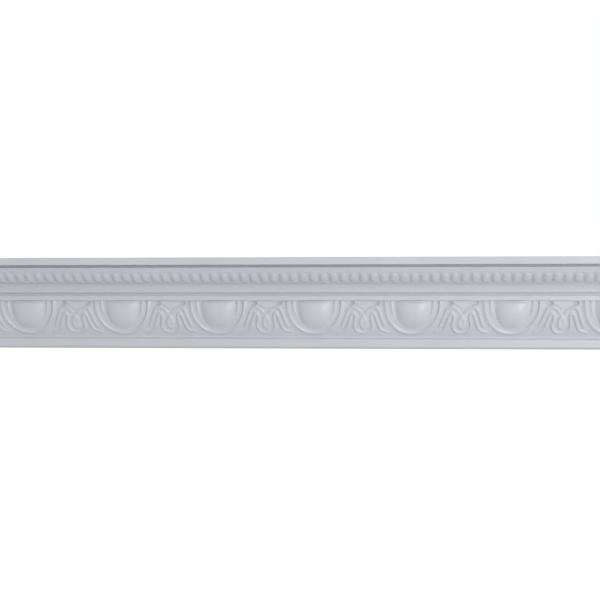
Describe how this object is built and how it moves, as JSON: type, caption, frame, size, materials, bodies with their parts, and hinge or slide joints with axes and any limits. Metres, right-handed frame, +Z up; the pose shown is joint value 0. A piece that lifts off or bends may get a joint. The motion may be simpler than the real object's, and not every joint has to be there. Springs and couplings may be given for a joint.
{
  "type": "cornice moulding",
  "caption": "Straight length of moulded cornice with a bead row over a cove and an ovolo carved with eggs, husks and leaves; flat wall and ceiling seats.",
  "frame": {"origin": "the middle of the flat wall seat, halfway along the length", "axes": "+X along the length to the right as seen from the room, +Y into the wall, +Z up to the ceiling"},
  "size_m": [0.692, 0.064, 0.101],
  "materials": {
    "moulded_pvc": "satin moulded white"
  },
  "bodies": {
    "root": {"cove_moulding": "moulded_pvc"}
  },
  "joints": []
}
